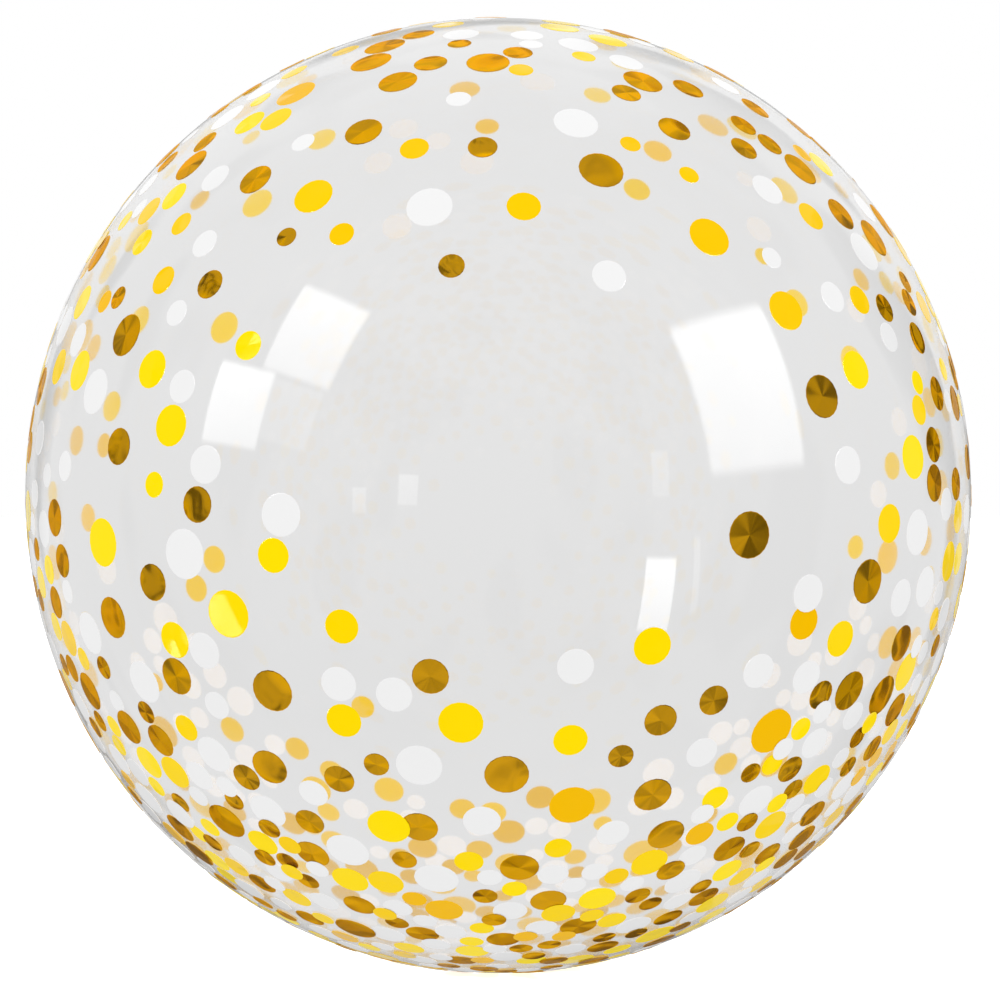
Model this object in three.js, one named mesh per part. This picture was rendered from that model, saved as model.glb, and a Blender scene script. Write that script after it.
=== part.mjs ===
// Clear bubble balloon: one sealed, air-filled envelope, modelled as a solid.
// Millimetres, +Z up, front towards -Y, origin at the centre of the resting spot.
import * as THREE from "three";

const WIDTH = 556; // inflated width, a nominal 22 inch bubble
const HEIGHT_TO_WIDTH = 1.0105; // the film stands very slightly taller than it is wide
const REST_RADIUS = 31; // the small flat spot that the balloon settles on
const SEGMENTS = 88; // facets round the balloon
const RINGS = 44; // facets from the resting spot to the crown

const SEMI_WIDTH = WIDTH / 2;
const SEMI_HEIGHT = SEMI_WIDTH * HEIGHT_TO_WIDTH;

// The angle up from the lowest point at which the ellipse is as wide as the resting spot.
const REST_ANGLE = Math.asin(REST_RADIUS / SEMI_WIDTH);
// The height of the ellipse's centre above the resting spot.
const CENTRE_Z = SEMI_HEIGHT * Math.cos(REST_ANGLE);

// Half of the balloon's outline, from the middle of its underside to its crown, both on the axis.
function envelopeProfile() {
  const points = [new THREE.Vector2(0, 0)];
  for (let ring = 0; ring < RINGS; ring += 1) {
    const angle = REST_ANGLE + ((Math.PI - REST_ANGLE) * ring) / RINGS;
    const radius = SEMI_WIDTH * Math.sin(angle);
    const height = ring === 0 ? 0 : CENTRE_Z - SEMI_HEIGHT * Math.cos(angle);
    points.push(new THREE.Vector2(radius, height));
  }
  points.push(new THREE.Vector2(0, CENTRE_Z + SEMI_HEIGHT));
  return points;
}

const clearFilm = new THREE.MeshStandardMaterial({
  name: "clear_film",
  color: 0xeef0f0,
  metalness: 0,
  roughness: 0.05,
  transparent: true,
  opacity: 0.35,
});

// The lathe turns about Y, so the envelope is turned upright.
const envelope = new THREE.Mesh(
  new THREE.LatheGeometry(envelopeProfile(), SEGMENTS).rotateX(Math.PI / 2),
  clearFilm,
);
envelope.name = "bubble_envelope";

const group = new THREE.Group();
group.name = "clear_bubble_balloon";
group.add(envelope);

export default group;
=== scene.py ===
"""A clear bubble balloon, printed with gold foil, yellow, amber and white dots, in a white studio."""

import math
import random

import bpy
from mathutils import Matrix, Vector


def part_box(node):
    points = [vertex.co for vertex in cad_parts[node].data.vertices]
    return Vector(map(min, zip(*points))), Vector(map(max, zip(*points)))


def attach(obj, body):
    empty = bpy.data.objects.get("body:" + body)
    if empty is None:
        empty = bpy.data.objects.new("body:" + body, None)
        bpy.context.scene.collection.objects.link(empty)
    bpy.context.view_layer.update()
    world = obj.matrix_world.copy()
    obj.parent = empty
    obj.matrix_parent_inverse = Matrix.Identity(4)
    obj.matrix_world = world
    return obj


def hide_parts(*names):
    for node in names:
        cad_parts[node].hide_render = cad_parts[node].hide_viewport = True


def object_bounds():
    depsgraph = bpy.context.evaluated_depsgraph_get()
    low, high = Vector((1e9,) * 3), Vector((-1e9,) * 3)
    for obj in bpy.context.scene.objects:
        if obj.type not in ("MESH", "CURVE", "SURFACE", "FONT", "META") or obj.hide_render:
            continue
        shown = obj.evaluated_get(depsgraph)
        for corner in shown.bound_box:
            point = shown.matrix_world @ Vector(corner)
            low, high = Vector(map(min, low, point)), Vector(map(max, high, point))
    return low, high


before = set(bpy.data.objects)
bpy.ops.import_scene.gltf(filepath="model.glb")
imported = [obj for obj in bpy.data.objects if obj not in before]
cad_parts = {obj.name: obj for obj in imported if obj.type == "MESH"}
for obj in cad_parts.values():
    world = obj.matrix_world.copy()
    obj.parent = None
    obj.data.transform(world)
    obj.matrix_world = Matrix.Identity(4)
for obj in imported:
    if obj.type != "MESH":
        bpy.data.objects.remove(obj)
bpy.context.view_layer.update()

# ---- Sizes, in metres and degrees -------------------------------------------------------------

NODE = "bubble_envelope"
HEIGHT_TO_WIDTH = 1.0105  # the envelope stands very slightly taller than it is wide
FILM_THICKNESS = 0.00015  # usual for stretched film once it is inflated
RESTING_EDGE = 0.003  # the rounding between the film and its flat resting spot
FILM_ROUNDS = 6  # subdivisions of the film's sphere: facets about 9 mm across

DOT_SIDES = 20
DOT_LIFT = 0.00008  # between the film and the underside of a dot
DOT_STEP = 0.0003  # a dot printed over another lies this much higher
INK_THICKNESS = 0.0001
RIM_WIDTH = 0.04  # the sloping rim of a dot, as a share of its radius
SMOOTH_UNDER = 12  # the angle up to which neighbouring faces of a dot are shaded as one
FOIL_RELIEF = 0.00008  # how far the foil's pleats rise and fall
PLEATS_ROUND = (1, 2, 3, 5)  # pleats of a foil dot, counted round it
PLEAT_SIZES = (0.2, 0.6)
FOIL_FOLDS = 0.0075  # depth of the finer folds that only turn the foil's shine
INK_WAVES = 0.0015  # the same for the yellow ink
USUAL_RADIUS = 0.0096  # of a dot
FOLD_WIDTH = 0.016  # across one fold or wave
FAR_APART = 90.0  # sets the patterns of two dots far enough apart to look unrelated
WEDGED = 0.6  # the share of the dots whose folds are wedges, and not waves

low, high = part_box(NODE)
SEMI_WIDTH = (high.x - low.x) / 2
SEMI_HEIGHT = SEMI_WIDTH * HEIGHT_TO_WIDTH
CENTRE = Vector((0, 0, high.z - SEMI_HEIGHT))

# ---- The print: (longitude, latitude, width in mm) --------------------------------------------
# Longitude 0 faces the front and grows to the right; 180 is the back. Latitude 0 is the equator.
# The dots round the front window are listed ink by ink, from the top down. The lists aren't chosen by
# hand: a program worked them out, to whole degrees and mm.

GOLD_DOTS = [
    (-17, 50, 21), (21, 48, 16), (-19, 41, 20), (26, 42, 18), (37, 40, 16), (-2, 38, 15),
    (-33, 35, 19), (13, 35, 23), (-25, 27, 11), (-5, 23, 13), (-34, 22, 16), (-46, 17, 23),
    (36, 10, 22), (-44, 5, 19), (-32, -1, 18), (26, -4, 23), (-39, -9, 19),
    (43, -9, 23), (-47, -13, 22), (-7, -18, 18), (-38, -19, 20), (-25, -20, 22),
    (24, -21, 16), (44, -21, 22), (18, -23, 17), (-45, -27, 19), (14, -27, 13),
    (-14, -28, 13), (-28, -29, 20), (1, -29, 22), (-19, -30, 16), (32, -30, 12),
    (19, -32, 20), (-36, -34, 12), (-25, -36, 16), (-10, -36, 19), (-27, -41, 19),
    (-13, -41, 13), (35, -41, 19), (3, -42, 20), (45, -43, 17), (53, -45, 17),
    (-31, -46, 13), (-2, -47, 13), (8, -48, 19), (23, -48, 14), (-43, -48, 17),
    (38, -50, 18), (-24, -50, 18), (34, -54, 17), (15, -54, 20), (-40, -55, 17),
    (-15, -56, 18), (1, -57, 18), (11, -59, 13), (25, -61, 18), (-10, -65, 18),
]
YELLOW_DOTS = [
    (4, 52, 13), (18, 39, 11), (-11, 38, 15), (25, 35, 11), (-23, 32, 21), (43, 31, 17),
    (-43, 30, 14), (3, 30, 17), (-18, 27, 13), (25, 27, 22), (-42, 23, 16), (46, 21, 16),
    (33, 19, 21), (-27, 15, 15), (-40, 13, 20), (42, 13, 20), (-36, 7, 21), (51, 4, 23),
    (-38, 1, 13), (46, -3, 20), (-47, -5, 25), (-23, -6, 17), (-29, -12, 24),
    (-16, -13, 17), (16, -15, 19), (-37, -15, 19), (40, -15, 19), (-17, -23, 18),
    (-4, -23, 22), (-39, -25, 15), (8, -25, 17), (-45, -31, 20), (45, -32, 19),
    (28, -33, 15), (-14, -36, 22), (8, -39, 14), (-35, -40, 18), (-4, -41, 15),
    (22, -42, 20), (-17, -45, 19), (38, -45, 18), (-51, -45, 17), (16, -48, 20),
    (-37, -50, 17), (21, -53, 16), (-3, -54, 13), (50, -56, 17), (-6, -61, 18),
    (-21, -61, 17), (9, -65, 17),
]
AMBER_DOTS = [
    (34, -13, 18), (33, -25, 25), (9, -33, 23), (28, -38, 16), (-9, -50, 20),
]
WHITE_DOTS = [
    (-6, 46, 13), (11, 42, 23), (-28, 40, 13), (-41, 36, 18), (37, 34, 19), (-8, 30, 23),
    (-37, 27, 16), (33, 25, 12), (12, 22, 17), (41, 21, 17), (-38, 19, 14), (50, 17, 16),
    (-50, 11, 24), (-35, 11, 17), (-31, 3, 19), (39, 3, 19), (-22, -2, 21), (52, -4, 24),
    (-34, -6, 25), (34, -10, 19), (50, -11, 20), (-33, -16, 19), (8, -17, 18),
    (29, -18, 18), (-17, -19, 18), (36, -19, 18), (-44, -20, 23), (-11, -20, 18),
    (-33, -22, 15), (24, -27, 17), (41, -27, 18), (-9, -28, 23), (-36, -28, 21),
    (-23, -32, 16), (35, -34, 21), (-2, -35, 19), (-31, -35, 21), (15, -37, 17),
    (-21, -40, 23), (48, -40, 17), (-42, -43, 17), (14, -43, 14), (-9, -44, 23),
    (-36, -45, 16), (30, -46, 21), (49, -48, 17), (2, -50, 18), (-17, -50, 16),
    (-31, -50, 17), (8, -54, 17), (-9, -55, 17), (27, -55, 20), (42, -55, 17),
    (-23, -57, 20), (17, -61, 17), (2, -63, 18), (-22, -66, 17),
]
# A few of the dots on the far side, which show softly through the window, worked out the same way.
BACK_YELLOW_DOTS = [
    (144, 67, 18), (-132, 56, 20), (-113, 24, 20), (-112, 12, 20), (112, 4, 18),
    (120, -7, 16), (-134, -9, 19), (-130, -13, 19), (-156, -32, 17), (-129, -34, 19),
    (-141, -38, 18), (134, -40, 18), (-157, -46, 21), (-172, -50, 18), (-175, -58, 18),
    (159, -59, 15),
]
BACK_WHITE_DOTS = [
    (-153, 60, 20), (-164, 58, 17), (-151, 53, 20), (-160, 42, 21), (-148, -49, 18),
    (-168, -57, 20),
]
LOW = -20  # the latitude under which scattered dots fill in between the listed ones
LISTED_HIGH = 53  # how far from the middle of the front the listed dots reach
LISTED_LOW = 43  # the same for the low ones
AMBER_ABOVE = 16  # the listed yellows over this latitude lean to amber, the others to lemon
AMBER_TONES = (0.55, 0.8)  # a tone of 0 is lemon, and 1 is amber
LEMON_TONES = (0.05, 0.4)

# ---- The rest of the print, scattered like darts ----------------------------------------------

DARTS = 60000
FAR_DARTS = 2400  # further white dots, low on the far side
WIDTHS = (23, 22, 20, 19, 18, 16, 13)  # the dots' sizes, in mm
TONES = (0.1, 0.2, 0.4, 0.6, 1.0)  # of the scattered yellows
SEPARATE = 0.0004  # the least gap between dots that don't overlap
DEEPEST_OVERLAP = 0.004  # between two dots of different inks
OVERLAP_SHARE = 0.07  # the share of the darts that may overlap like that
CROWDED_BELOW = -15  # the latitude under which this many times as many may
MORE_OVERLAPS = 3
MOST_LAYERS = 1  # how many dots may lie under a scattered one
# The clear windows are ovals: half their width, half their height and their middle's latitude.
FRONT_WINDOW = (27, 20, 4)
BACK_WINDOW = (52, 50, 3)
BACK_WINDOW_OF_WHITE = (56, 54, 3)
# The shares of the darts that stick, and where those change, in degrees.
FAR_SIDE = 80  # how far from the middle of the back the sparser far side reaches
FAR_SIDE_OF_WHITE = 70
FEW_BEHIND = 0.005
MORE_LOW_BEHIND = 0.3
FILLS_BEHIND = (28, 73)  # how far under the equator the far side starts to fill, and is full
FEW_AT_SIDES = 0.05
FEW_NEAR_TOP = 0.03
NEAR_TOP = 45  # the latitude over which the print is sparsest
FILLS_IN_FRONT = (5, 40)  # the same for the front and the sides
PAINTED_SHADE_LATITUDES = (-75, 15)  # painted shade: the undersides' colour lightens between these latitudes, as if more light came in where the print thins out
RANDOM_TONE_SHARE = 0.25  # the share of a dot's own random tone in its underside's colour, against the painted shade

# ---- Helpers ----------------------------------------------------------------------------------


def colour(hex_code):
    """A material colour from its sRGB hex code."""
    channels = [int(hex_code[i : i + 2], 16) / 255 for i in (1, 3, 5)]
    linear = [c / 12.92 if c <= 0.04045 else ((c + 0.055) / 1.055) ** 2.4 for c in channels]
    return (*linear, 1.0)


def add_node(tree, kind, inputs=None, **settings):
    """Adds a node, sets what settings names, and fills or links each input."""
    node = tree.nodes.new(kind)
    for name, value in settings.items():
        setattr(node, name, value)
    for name, value in (inputs or {}).items():
        if isinstance(value, bpy.types.NodeSocket):
            tree.links.new(value, node.inputs[name])
        else:
            node.inputs[name].default_value = value
    return node


def new_material(name, **inputs):
    """A Principled material with these values, and its shader node."""
    material = bpy.data.materials.new(name)
    material.use_nodes = True
    shader = material.node_tree.nodes["Principled BSDF"]
    for socket, value in inputs.items():
        shader.inputs[socket.replace("_", " ")].default_value = value
    return material, shader


def on_sphere(longitude, latitude):
    """The unit vector from the balloon's centre in this direction."""
    across, up = math.radians(longitude), math.radians(latitude)
    return Vector(
        (math.cos(up) * math.sin(across), -math.cos(up) * math.cos(across), math.sin(up))
    )


def on_film(direction, lift):
    """The point at this height over the film, in this direction from the centre."""
    base = CENTRE + Vector(
        (SEMI_WIDTH * direction.x, SEMI_WIDTH * direction.y, SEMI_HEIGHT * direction.z)
    )
    outwards = Vector(
        (direction.x / SEMI_WIDTH, direction.y / SEMI_WIDTH, direction.z / SEMI_HEIGHT)
    ).normalized()
    if base.z < 0:
        base.z = 0
        outwards = Vector((0, 0, -1))
    return base + outwards * lift


# ---- Film -------------------------------------------------------------------------------------


def model_film():
    """The envelope: a thin shell of one even thickness, flattened where it rests."""
    bpy.ops.object.select_all(action="DESELECT")
    bpy.ops.mesh.primitive_ico_sphere_add(
        subdivisions=FILM_ROUNDS, radius=SEMI_WIDTH, location=CENTRE
    )
    film = bpy.context.object
    film.name = "clear_film"
    bpy.ops.object.transform_apply(location=True)
    bpy.ops.object.mode_set(mode="EDIT")
    bpy.ops.mesh.select_all(action="SELECT")
    bpy.ops.transform.resize(value=(1, 1, HEIGHT_TO_WIDTH), center_override=CENTRE)
    bpy.ops.mesh.bisect(
        plane_co=(0, 0, 0), plane_no=(0, 0, 1), use_fill=True, clear_inner=True
    )
    bpy.ops.mesh.bevel(offset=RESTING_EDGE, segments=3, affect="EDGES")
    bpy.ops.object.mode_set(mode="OBJECT")
    bpy.ops.object.shade_smooth()
    wall = film.modifiers.new("wall", "SOLIDIFY")
    wall.thickness = FILM_THICKNESS
    wall.offset = -1
    wall.use_even_offset = True
    bpy.ops.object.modifier_apply(modifier="wall")
    # Film this thin throws no shadow that the eye can find.
    film.visible_shadow = False
    film.visible_diffuse = False
    return film


# ---- Dots -------------------------------------------------------------------------------------


def model_dot():
    """One dot, flat and of radius 1, that every printed dot is a copy of."""
    bpy.ops.object.select_all(action="DESELECT")
    bpy.ops.mesh.primitive_circle_add(vertices=DOT_SIDES, radius=1, fill_type="TRIFAN")
    dot = bpy.context.object
    bpy.ops.object.mode_set(mode="EDIT")
    bpy.ops.mesh.select_all(action="SELECT")
    bpy.ops.mesh.extrude_region_move(
        TRANSFORM_OT_translate={"value": (0, 0, INK_THICKNESS)}
    )
    bpy.ops.transform.resize(value=(1 - RIM_WIDTH, 1 - RIM_WIDTH, 1))
    bpy.ops.mesh.select_all(action="SELECT")
    bpy.ops.mesh.normals_make_consistent(inside=False)
    bpy.ops.object.mode_set(mode="OBJECT")
    dot.data.uv_layers[0].name = "across_dot"
    for _ in ("top", "underside"):
        dot.data.materials.append(None)
    for face in dot.data.polygons:
        face.material_index = 1 if face.normal.z < -0.5 else 0
    return dot


def foil_pleats(rng):
    """A foil dot's own relief: a function of the angle round it, from -1 to 1 or so."""
    waves = [
        (fold, rng.uniform(*PLEAT_SIZES), rng.uniform(0, math.tau)) for fold in PLEATS_ROUND
    ]
    return lambda angle: sum(size * math.cos(fold * angle + turn) for fold, size, turn in waves)


def print_dot(pattern, dot, rng):
    """A copy of the flat dot, laid on the film at its own place, size and turn."""
    facing = on_sphere(dot["longitude"], dot["latitude"])
    east = Vector((0, 0, 1)).cross(facing).normalized()
    north = facing.cross(east)
    spin = rng.uniform(0, math.tau)
    pleats = foil_pleats(rng)
    spread = dot["width"] / 2 / SEMI_WIDTH
    lift = DOT_LIFT + DOT_STEP * dot["layer"]
    mesh = pattern.data.copy()
    for vertex in mesh.vertices:
        radius = math.hypot(vertex.co.x, vertex.co.y)
        angle = math.atan2(vertex.co.y, vertex.co.x) + spin
        away = spread * radius
        sideways = east * math.cos(angle) + north * math.sin(angle)
        direction = facing * math.cos(away) + sideways * math.sin(away)
        height = lift + vertex.co.z
        if dot["ink"] == "gold" and vertex.co.z > INK_THICKNESS / 2:
            height += FOIL_RELIEF * (1 + pleats(angle) * radius)
        vertex.co = on_film(direction, height)
    # Each dot carries its tone, its own random number, and its underside's painted shade, darker low
    # down.
    for attribute in ("tone", "own_number", "painted_shade_and_tone"):
        for value in mesh.attributes.new(attribute, "FLOAT", "POINT").data:
            value.value = dot[attribute]
    printed = bpy.data.objects.new("dot", mesh)
    bpy.context.scene.collection.objects.link(printed)
    return printed


def rise(value, start, end):
    """0 up to the start, 1 from the end on, and even in between."""
    return min(1, max(0, value - start) / (end - start))


def in_window(aside, latitude, window):
    """Whether a place this far sideways from a window's middle line lies in its oval."""
    half_width, half_height, middle = window
    return math.hypot(aside / half_width, (latitude - middle) / half_height) < 1


def crowding(longitude, latitude):
    """The share of darts that stick here: none in the clear windows, all of them near the
    bottom, and few on the far side."""
    behind = 180 - abs(longitude)
    if in_window(longitude, latitude, FRONT_WINDOW) or in_window(behind, latitude, BACK_WINDOW):
        return 0
    if behind < FAR_SIDE:
        return FEW_BEHIND + MORE_LOW_BEHIND * rise(-latitude, *FILLS_BEHIND) ** 3
    sides = FEW_AT_SIDES if latitude < NEAR_TOP else FEW_NEAR_TOP
    return sides + rise(-latitude, *FILLS_IN_FRONT) ** 2


def crowding_of_white(longitude, latitude):
    """The share of the further white darts that stick: low on the far side, nowhere else."""
    behind = 180 - abs(longitude)
    if in_window(behind, latitude, BACK_WINDOW_OF_WHITE):
        return 0
    return 1 if behind <= FAR_SIDE_OF_WHITE and latitude <= CROWDED_BELOW else 0


def plan_print(rng):
    """Every dot as its place, width, ink, tone and layer: those listed above, then the rest."""
    dots = []

    def place(longitude, latitude, width, ink, tone, gap=None):
        """Adds a dot and says so, unless it comes nearer to another than the gap allows."""
        facing = on_sphere(longitude, latitude)
        over = 0
        for other in dots:
            between = facing.angle(other["facing"]) * SEMI_WIDTH
            clear = between - (width + other["width"]) / 2
            if gap is not None and clear < (SEPARATE if other["ink"] == ink else gap):
                return False
            if clear < 0:
                over = max(over, other["layer"] + 1)
        if gap is not None and over > MOST_LAYERS:
            return False
        own_number = rng.random()
        dots.append(
            {
                "longitude": longitude,
                "latitude": latitude,
                "facing": facing,
                "width": width,
                "ink": ink,
                "tone": tone,
                "own_number": own_number,
                # its underside's painted shade by latitude, mixed with its own random tone
                "painted_shade_and_tone": RANDOM_TONE_SHARE * own_number
                + (1 - RANDOM_TONE_SHARE) * rise(latitude, *PAINTED_SHADE_LATITUDES),
                "layer": over,
            }
        )
        return True

    for ink, tone, listed in (
        ("gold", 0.0, GOLD_DOTS),
        ("yellow", 0.0, YELLOW_DOTS + BACK_YELLOW_DOTS),
        ("yellow", 1.0, AMBER_DOTS),
        ("white", 0.0, WHITE_DOTS + BACK_WHITE_DOTS),
    ):
        for longitude, latitude, width in listed:
            lean = rng.uniform(*(AMBER_TONES if latitude > AMBER_ABOVE else LEMON_TONES))
            place(longitude, latitude, width / 1000, ink, max(tone, lean))

    front = on_sphere(0, 0)

    def scatter(darts, share_that_sticks, inks):
        """Throws darts at the whole film, and prints the widest dot that fits where one sticks."""
        for _ in range(darts):
            longitude = rng.uniform(-180, 180)
            latitude = math.degrees(math.asin(rng.uniform(-1, 1)))
            aside = math.degrees(on_sphere(longitude, latitude).angle(front))
            if aside < (LISTED_HIGH if latitude > LOW else LISTED_LOW):
                continue
            if rng.random() > share_that_sticks(longitude, latitude):
                continue
            widest = rng.choice(WIDTHS)
            ink = rng.choice(inks)
            tone = rng.choice(TONES)
            overlaps = OVERLAP_SHARE * (MORE_OVERLAPS if latitude < CROWDED_BELOW else 1)
            gap = -DEEPEST_OVERLAP if rng.random() < overlaps else SEPARATE
            for width in WIDTHS:
                if width <= widest and place(longitude, latitude, width / 1000, ink, tone, gap):
                    break

    scatter(DARTS, crowding, ("gold", "yellow", "white"))
    scatter(FAR_DARTS, crowding_of_white, ("white",))
    return dots


def print_ink(name, ink, dots, pattern, rng, top, underside):
    """All the dots of one ink, as one piece."""
    pattern.data.materials[0] = top
    pattern.data.materials[1] = underside
    printed = [print_dot(pattern, dot, rng) for dot in dots if dot["ink"] == ink]
    bpy.ops.object.select_all(action="DESELECT")
    for dot in printed:
        dot.select_set(True)
    bpy.context.view_layer.objects.active = printed[0]
    bpy.ops.object.join()
    piece = bpy.context.object
    piece.name = name
    bpy.ops.object.shade_smooth_by_angle(angle=math.radians(SMOOTH_UNDER))
    return piece


# ---- Materials --------------------------------------------------------------------------------


def clear_film_material():
    """Stretched clear polyurethane film, blown smooth: as clear as glass, with sharp reflections
    and a faint haze that softens the far dots."""
    material, _ = new_material(
        "stretched clear polyurethane film",
        Base_Color=colour("#FFFFFF"),
        Roughness=0.028,
        IOR=1.45,
        Transmission_Weight=1.0,
    )
    return material


def wavy_normal(tree, depth):
    """A normal that turns with each dot's own folds: cone-like wedges that meet in its middle on
    most of the dots, and broad waves on the others. The pattern is measured in dot radii."""
    scale = USUAL_RADIUS / FOLD_WIDTH
    across = add_node(tree, "ShaderNodeUVMap", uv_map="across_dot")
    own = add_node(tree, "ShaderNodeAttribute", attribute_name="own_number").outputs["Fac"]
    centred = add_node(
        tree,
        "ShaderNodeMapping",
        {"Vector": across.outputs["UV"], "Location": (-1, -1, 0), "Scale": (2, 2, 1)},
    ).outputs["Vector"]
    spoke = add_node(tree, "ShaderNodeVectorMath", {0: centred}, operation="NORMALIZE")
    radius = add_node(tree, "ShaderNodeVectorMath", {0: centred}, operation="LENGTH")
    place = add_node(tree, "ShaderNodeMath", {0: own, 1: FAR_APART}, operation="MULTIPLY").outputs[0]
    wedges = add_node(
        tree,
        "ShaderNodeTexNoise",
        {"Vector": spoke.outputs["Vector"], "W": place, "Scale": scale, "Detail": 0.0},
        noise_dimensions="4D",
    )
    slant = add_node(
        tree, "ShaderNodeMath", {0: wedges.outputs["Fac"], 1: 0.5}, operation="SUBTRACT"
    )
    cone = add_node(
        tree,
        "ShaderNodeMath",
        {0: slant.outputs[0], 1: radius.outputs["Value"]},
        operation="MULTIPLY",
    )
    waves = add_node(
        tree,
        "ShaderNodeTexNoise",
        {"Vector": centred, "W": place, "Scale": scale, "Detail": 0.0},
        noise_dimensions="4D",
    )
    waved = add_node(tree, "ShaderNodeMath", {0: own, 1: WEDGED}, operation="GREATER_THAN")
    folds = add_node(
        tree,
        "ShaderNodeMix",
        {0: waved.outputs[0], 2: cone.outputs[0], 3: waves.outputs["Fac"]},
        data_type="FLOAT",
    )
    bump = add_node(
        tree, "ShaderNodeBump", {"Height": folds.outputs[0], "Distance": depth, "Strength": 1.0}
    )
    return bump.outputs["Normal"]


def gold_foil_material():
    """Hot-stamped gold foil, lacquered: a mirror-like metal whose folds catch bright and dark
    parts of the room, so no two dots look alike, and a clear gloss that whitens its glints."""
    material, shader = new_material(
        "hot-stamped gold foil",
        Base_Color=colour("#F3B418"),
        Metallic=1.0,
        Roughness=0.2,
        Specular_Tint=colour("#F0C860"),
        Coat_Weight=0.08,
        Coat_Roughness=0.12,
    )
    tree = material.node_tree
    tree.links.new(wavy_normal(tree, FOIL_FOLDS), shader.inputs["Normal"])
    return material


def yellow_ink_material():
    """Glossy screen-printed ink, lemon on most dots and amber on some. It dries a little wavy,
    so parts of it mirror a bright screen and look paler."""
    material, shader = new_material(
        "glossy yellow screen ink",
        Roughness=0.08,
        IOR=1.5,
        Specular_IOR_Level=0.12,
        Specular_Tint=colour("#FFF0A0"),
    )
    tree = material.node_tree
    tone = add_node(tree, "ShaderNodeAttribute", attribute_name="tone")
    shade = add_node(
        tree,
        "ShaderNodeMix",
        {0: tone.outputs["Fac"], 6: colour("#FFE400"), 7: colour("#F2BA00")},
        data_type="RGBA",
    )
    tree.links.new(shade.outputs[2], shader.inputs["Base Color"])
    tree.links.new(wavy_normal(tree, INK_WAVES), shader.inputs["Normal"])
    return material


def white_ink_material():
    """Opaque white screen-printed ink, glossy."""
    material, _ = new_material(
        "glossy white screen ink", Base_Color=colour("#ECECEC"), Roughness=0.15, IOR=1.45
    )
    return material


def underside_material(name, darkest, lightest):
    """The first layer of a dot, seen through the film: duller and paler than its face. Its colour
    carries painted shade: darker low down, as if the crowded print let less light in there, with a
    little random tone from dot to dot."""
    material, shader = new_material(name, Roughness=0.45, IOR=1.45, Specular_IOR_Level=0.05)
    tree = material.node_tree
    light = add_node(tree, "ShaderNodeAttribute", attribute_name="painted_shade_and_tone")
    shade = add_node(
        tree,
        "ShaderNodeMix",
        {0: light.outputs["Fac"], 6: colour(darkest), 7: colour(lightest)},
        data_type="RGBA",
    )
    tree.links.new(shade.outputs[2], shader.inputs["Base Color"])
    return material


# ---- Studio -----------------------------------------------------------------------------------

SEEN_DIRECTLY = 1.0  # the white sweep, as the lens sees it
# Each of these is a ramp: where it starts and ends, and its level there. Height runs from -1 under
# the balloon to 1 over it, and depth from -1 at the camera's side to 1 at the sweep behind it.
LIT = (-1, 1, 1.0, 1.21)  # the light that falls on the print, by height
BEHIND_FILM = (-0.11, 0.11, 0.755, 0.8)  # the sweep, as the film shows it, by height
MIRRORED_SCREENS = (-0.3, 0.7, 0.57, 0.87)  # the room's screens, by depth
MIRRORED_GAPS = (0.7, 0.95, 0.12, 0.4)  # the dark gaps between them, by depth
HUNG = (0.4, 0.52, 0, 1)  # from gap to screen, by the noise that hangs them
EVENNESS = (0.35, 0.95, 0, 0.8)  # how far the gaps close overhead and underneath
MIRRORED_STREAKS = (0.42, 0.58, 0.5, 1.05)  # fine edges of the sweep, by their noise
STREAKED = (0.88, 0.95, 0, 1)  # where those edges show, by depth: they streak the film's rim
SCREENS_PATTERN = (3.6, 3.6, 1.8)  # how fine that noise is: across, deep and up
STREAKS_PATTERN = (5, 40, 5)
# How much brighter or darker the room is towards some directions than the rest of it.
MIRRORED_PARTS = [
    ((0, 0.8, -0.6), 0.6),  # the shade under and behind the balloon
    ((0, 0.7, 0.7), 1.3),  # the ceiling behind it
    ((0, 0, -1), 1.2),  # the floor
    ((-1, 0, 0), 0.84),  # the sides, where the room is open
    ((1, 0, 0), 0.78),
]
PART_EDGES = (0.6, 0.93)  # the cosines at which such a part begins, and is full
DIM_FOOT = 0.65  # how bright a softbox is at its foot, against its head
SOFT_EDGES = {"X": 0.07, "Y": 0.1}  # the share of a softbox's side over which its light fades out
LENS = 75  # mm
CAMERA_DISTANCE = 4.5175  # from the balloon's centre, in half-widths of the balloon
CAMERA_ASIDE = 0.001  # to the right of that centre
CAMERA_UP = -0.0027
FLOOR_SIZE = 60
# name, azimuth, elevation, distance, width, height, roll, radiance on the film and the white ink,
# radiance on the yellow ink. Azimuth 0 is the camera's side, and sizes are in metres. The first
# nine's directions, distances and rolls, and their sizes, were fitted by program, and a few of the
# sizes were then changed. The tenth and all radiances came by trial.
SOFTBOXES = [
    ("upper left softbox", -43, 30, 1.56, 0.48, 0.51, -13, 6.6, 42.0),
    ("lower left softbox", -58, 16, 1.58, 0.41, 0.44, -5, 7.0, 42.0),
    ("left fill panel", -45, 15, 1.60, 0.36, 0.36, -12, 1.4, 0),
    ("right softbox", 55, 19, 1.52, 0.68, 0.86, 4, 6.6, 30.0),
    ("right window", 33, 4, 1.50, 0.10, 0.25, 1, 1.6, 0),
    ("low right strip", 34, -19, 1.50, 0.18, 0.41, 1, 7.8, 0),
    ("far right strip", 42, -15, 1.50, 0.04, 0.42, 6, 1.6, 0),
    ("far window", -28, -1, 1.50, 0.08, 0.14, -1, 2.0, 0),
    ("near window", -18, 1, 1.50, 0.11, 0.17, -3, 2.6, 0),
    ("low left panel", -68, -24, 1.50, 0.50, 0.42, 5, 0, 24.0),
]


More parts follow.
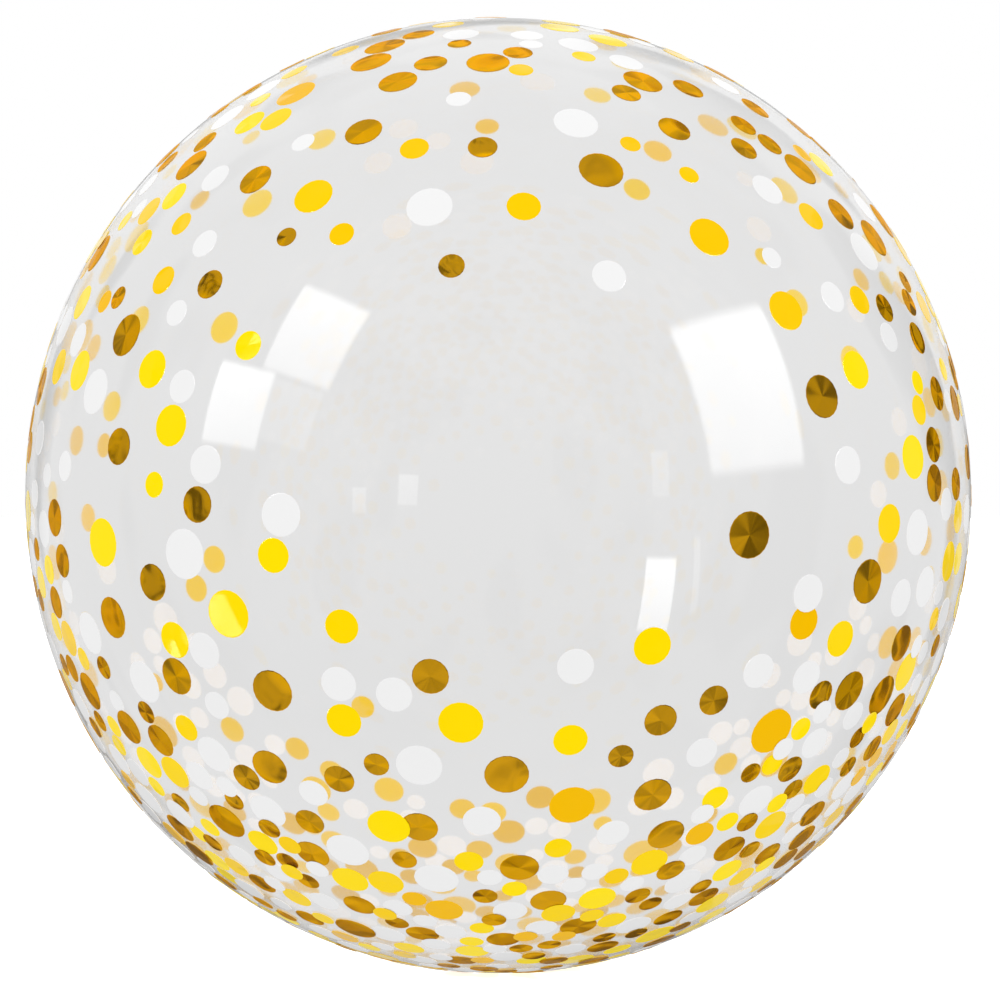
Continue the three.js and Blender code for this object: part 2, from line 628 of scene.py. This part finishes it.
def light_the_room():
    """A white room hung with tall screens, with darker gaps between them. The lens sees its
    sweep at one level, the film at another, and reflections see the screens."""
    world = bpy.data.worlds.new("white studio")
    bpy.context.scene.world = world
    world.use_nodes = True
    tree = world.node_tree
    tree.nodes.clear()
    ray = add_node(tree, "ShaderNodeLightPath")
    towards = add_node(tree, "ShaderNodeTexCoord").outputs["Generated"]
    axes = add_node(tree, "ShaderNodeSeparateXYZ", {0: towards})
    deep, up = axes.outputs["Y"], axes.outputs["Z"]

    def ramp(value, start, end, low, high):
        return add_node(
            tree,
            "ShaderNodeMapRange",
            {"Value": value, 1: start, 2: end, 3: low, 4: high},
            interpolation_type="SMOOTHSTEP",
        ).outputs[0]

    def blend(share, low, high):
        return add_node(
            tree, "ShaderNodeMix", {0: share, 2: low, 3: high}, data_type="FLOAT"
        ).outputs[0]

    tall = add_node(tree, "ShaderNodeMapping", {"Vector": towards, "Scale": SCREENS_PATTERN})
    panels = add_node(
        tree, "ShaderNodeTexNoise", {"Vector": tall.outputs["Vector"], "Scale": 1.0, "Detail": 1.0}
    )
    gaps = ramp(deep, *MIRRORED_GAPS)
    bright = ramp(deep, *MIRRORED_SCREENS)
    off_level = add_node(tree, "ShaderNodeMath", {0: up}, operation="ABSOLUTE").outputs[0]
    hung = blend(ramp(off_level, *EVENNESS), ramp(panels.outputs["Fac"], *HUNG), 1.0)
    screens = blend(hung, gaps, bright)
    fine = add_node(tree, "ShaderNodeMapping", {"Vector": towards, "Scale": STREAKS_PATTERN})
    edges = add_node(
        tree, "ShaderNodeTexNoise", {"Vector": fine.outputs["Vector"], "Scale": 1.0, "Detail": 1.0}
    )
    streaks = ramp(edges.outputs["Fac"], *MIRRORED_STREAKS)
    room = blend(ramp(deep, *STREAKED), screens, streaks)
    for middle, brightness in MIRRORED_PARTS:
        near = add_node(
            tree, "ShaderNodeVectorMath", {0: towards, 1: middle}, operation="DOT_PRODUCT"
        )
        change = ramp(near.outputs["Value"], *PART_EDGES, 1, brightness)
        room = add_node(
            tree, "ShaderNodeMath", {0: room, 1: change}, operation="MULTIPLY"
        ).outputs[0]
    level = ramp(up, *LIT)
    for kind, seen in (
        ("Is Glossy Ray", room),
        ("Is Transmission Ray", ramp(up, *BEHIND_FILM)),
        ("Is Camera Ray", SEEN_DIRECTLY),
    ):
        level = blend(ray.outputs[kind], level, seen)
    background = add_node(tree, "ShaderNodeBackground", {"Color": (1, 1, 1, 1), "Strength": level})
    add_node(tree, "ShaderNodeOutputWorld", {"Surface": background.outputs[0]})


def softbox(receivers, name, azimuth, elevation, distance, width, height, roll, radiance):
    """A rectangular softbox that faces the balloon, soft at its edges and dimmer towards its foot.
    Azimuth 0 is the camera's side. It shows only as a reflection, and only in its receivers."""
    data = bpy.data.lights.new(name, "AREA")
    data.shape = "RECTANGLE"
    data.size = width
    data.size_y = height
    data.energy = radiance * math.pi * width * height
    data.use_nodes = True
    tree = data.node_tree
    across = add_node(tree, "ShaderNodeNewGeometry").outputs["Parametric"]
    axes = add_node(tree, "ShaderNodeSeparateXYZ", {0: across})
    level = add_node(tree, "ShaderNodeMapRange", {"Value": axes.outputs["Y"], 3: DIM_FOOT, 4: 1.0})
    level = level.outputs[0]
    for axis, fade in SOFT_EDGES.items():
        middle = add_node(
            tree, "ShaderNodeMath", {0: axes.outputs[axis], 1: 0.5}, operation="SUBTRACT"
        )
        aside = add_node(tree, "ShaderNodeMath", {0: middle.outputs[0]}, operation="ABSOLUTE")
        edge = add_node(
            tree,
            "ShaderNodeMapRange",
            {"Value": aside.outputs[0], 1: 0.5, 2: 0.5 - fade, 3: 0.0, 4: 1.0},
            interpolation_type="SMOOTHSTEP",
        )
        level = add_node(
            tree, "ShaderNodeMath", {0: level, 1: edge.outputs[0]}, operation="MULTIPLY"
        ).outputs[0]
    tree.links.new(level, tree.nodes["Emission"].inputs["Strength"])
    lamp = bpy.data.objects.new(name, data)
    lamp.location = CENTRE + on_sphere(azimuth, elevation) * distance
    facing = (CENTRE - lamp.location).to_track_quat("-Z", "Y").to_euler()
    facing.rotate_axis("Z", math.radians(roll))
    lamp.rotation_euler = facing
    lamp.visible_camera = False
    lamp.visible_transmission = False
    lamp.visible_diffuse = False
    lamp.light_linking.receiver_collection = receivers
    bpy.context.scene.collection.objects.link(lamp)


def lay_floor():
    """A plain white floor, bright enough to run into the sweep behind it."""
    bpy.ops.object.select_all(action="DESELECT")
    bpy.ops.mesh.primitive_plane_add(size=FLOOR_SIZE, location=(0, 0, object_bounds()[0].z))
    floor = bpy.context.object
    floor.name = "floor"
    paint, _ = new_material(
        "white studio floor paint",
        Base_Color=colour("#F2F2F2"),
        Roughness=0.9,
        Specular_IOR_Level=0.0,
        Emission_Color=(1, 1, 1, 1),
        Emission_Strength=0.8,
    )
    floor.data.materials.append(paint)
    floor.visible_glossy = False
    floor.visible_transmission = False
    floor.visible_diffuse = False


def set_camera():
    """A level short telephoto view of the front, with the balloon nearly filling the frame."""
    data = bpy.data.cameras.new("camera")
    data.lens = LENS
    camera = bpy.data.objects.new("camera", data)
    camera.location = CENTRE + Vector((CAMERA_ASIDE, -CAMERA_DISTANCE * SEMI_WIDTH, CAMERA_UP))
    camera.rotation_euler = (math.pi / 2, 0, 0)
    bpy.context.scene.collection.objects.link(camera)
    bpy.context.scene.camera = camera


# ---- Build ------------------------------------------------------------------------------------

rng = random.Random(287)
# The softboxes light the film and the white ink, and, more strongly, the duller yellow ink. The
# foil, which would burn out in them, mirrors the room only.
glossy_pieces = bpy.data.collections.new("film and white ink")
yellow_pieces = bpy.data.collections.new("yellow ink")

film = model_film()
film.data.materials.clear()
film.data.materials.append(clear_film_material())
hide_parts(NODE)
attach(film, "root")
glossy_pieces.objects.link(film)

pattern = model_dot()
dots = plan_print(rng)
# Each underside runs from its first colour, painted shade low down, to its second higher up.
for name, ink, slot, top, underside in (
    ("gold_foil_dots", "gold", "gold_foil", gold_foil_material(),
     underside_material("adhesive side of gold foil", "#CDA000", "#FFD000")),
    ("yellow_ink_dots", "yellow", "yellow_ink", yellow_ink_material(),
     underside_material("back of yellow ink", "#DEB000", "#FFDD00")),
    ("white_ink_dots", "white", "white_ink", white_ink_material(),
     underside_material("back of white ink", "#E8E8EC", "#F4F5FA")),
):
    piece = print_ink(name, ink, dots, pattern, rng, top, underside)
    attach(piece, "root")
    if ink == "white":
        glossy_pieces.objects.link(piece)
    if ink == "yellow":
        yellow_pieces.objects.link(piece)
bpy.data.objects.remove(pattern)

lay_floor()
light_the_room()
for name, *place, on_film_and_white, on_yellow in SOFTBOXES:
    if on_film_and_white:
        softbox(glossy_pieces, name, *place, on_film_and_white)
    if on_yellow:
        softbox(yellow_pieces, name + " on yellow ink", *place, on_yellow)
bpy.context.scene.view_settings.view_transform = "Standard"
set_camera()
